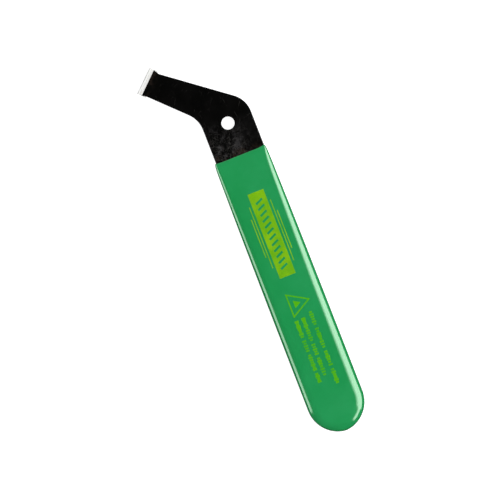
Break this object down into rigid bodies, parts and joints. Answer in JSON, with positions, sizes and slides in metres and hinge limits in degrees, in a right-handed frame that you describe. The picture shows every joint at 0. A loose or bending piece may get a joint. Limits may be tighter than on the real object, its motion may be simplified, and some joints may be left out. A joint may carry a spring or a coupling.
{
  "type": "plastic sheet scoring knife",
  "caption": "Hand scoring knife for plastic sheet: a flat cranked steel shank with a brazed carbide bit across its end, a hanging hole and a dipped vinyl grip.",
  "frame": {"origin": "centre of the hanging hole, at the middle of the steel's thickness", "axes": "+Y along the bar from the grip towards the head, +Z out of the printed face, and the head cranks over towards -X"},
  "size_m": [0.0506, 0.2011, 0.0063],
  "materials": {
    "black_steel": "satin",
    "carbide": "satin",
    "silver_solder": "satin",
    "green_vinyl": "gloss",
    "lime_ink": "satin",
    "leaf_ink": "satin"
  },
  "bodies": {
    "root": {"blade_shank": "black_steel", "carbide_bit": "carbide", "braze_joint": "silver_solder", "grip_sleeve": "green_vinyl", "printed_panel": "lime_ink", "printed_triangle": "leaf_ink", "printed_lines": "leaf_ink"}
  },
  "joints": []
}
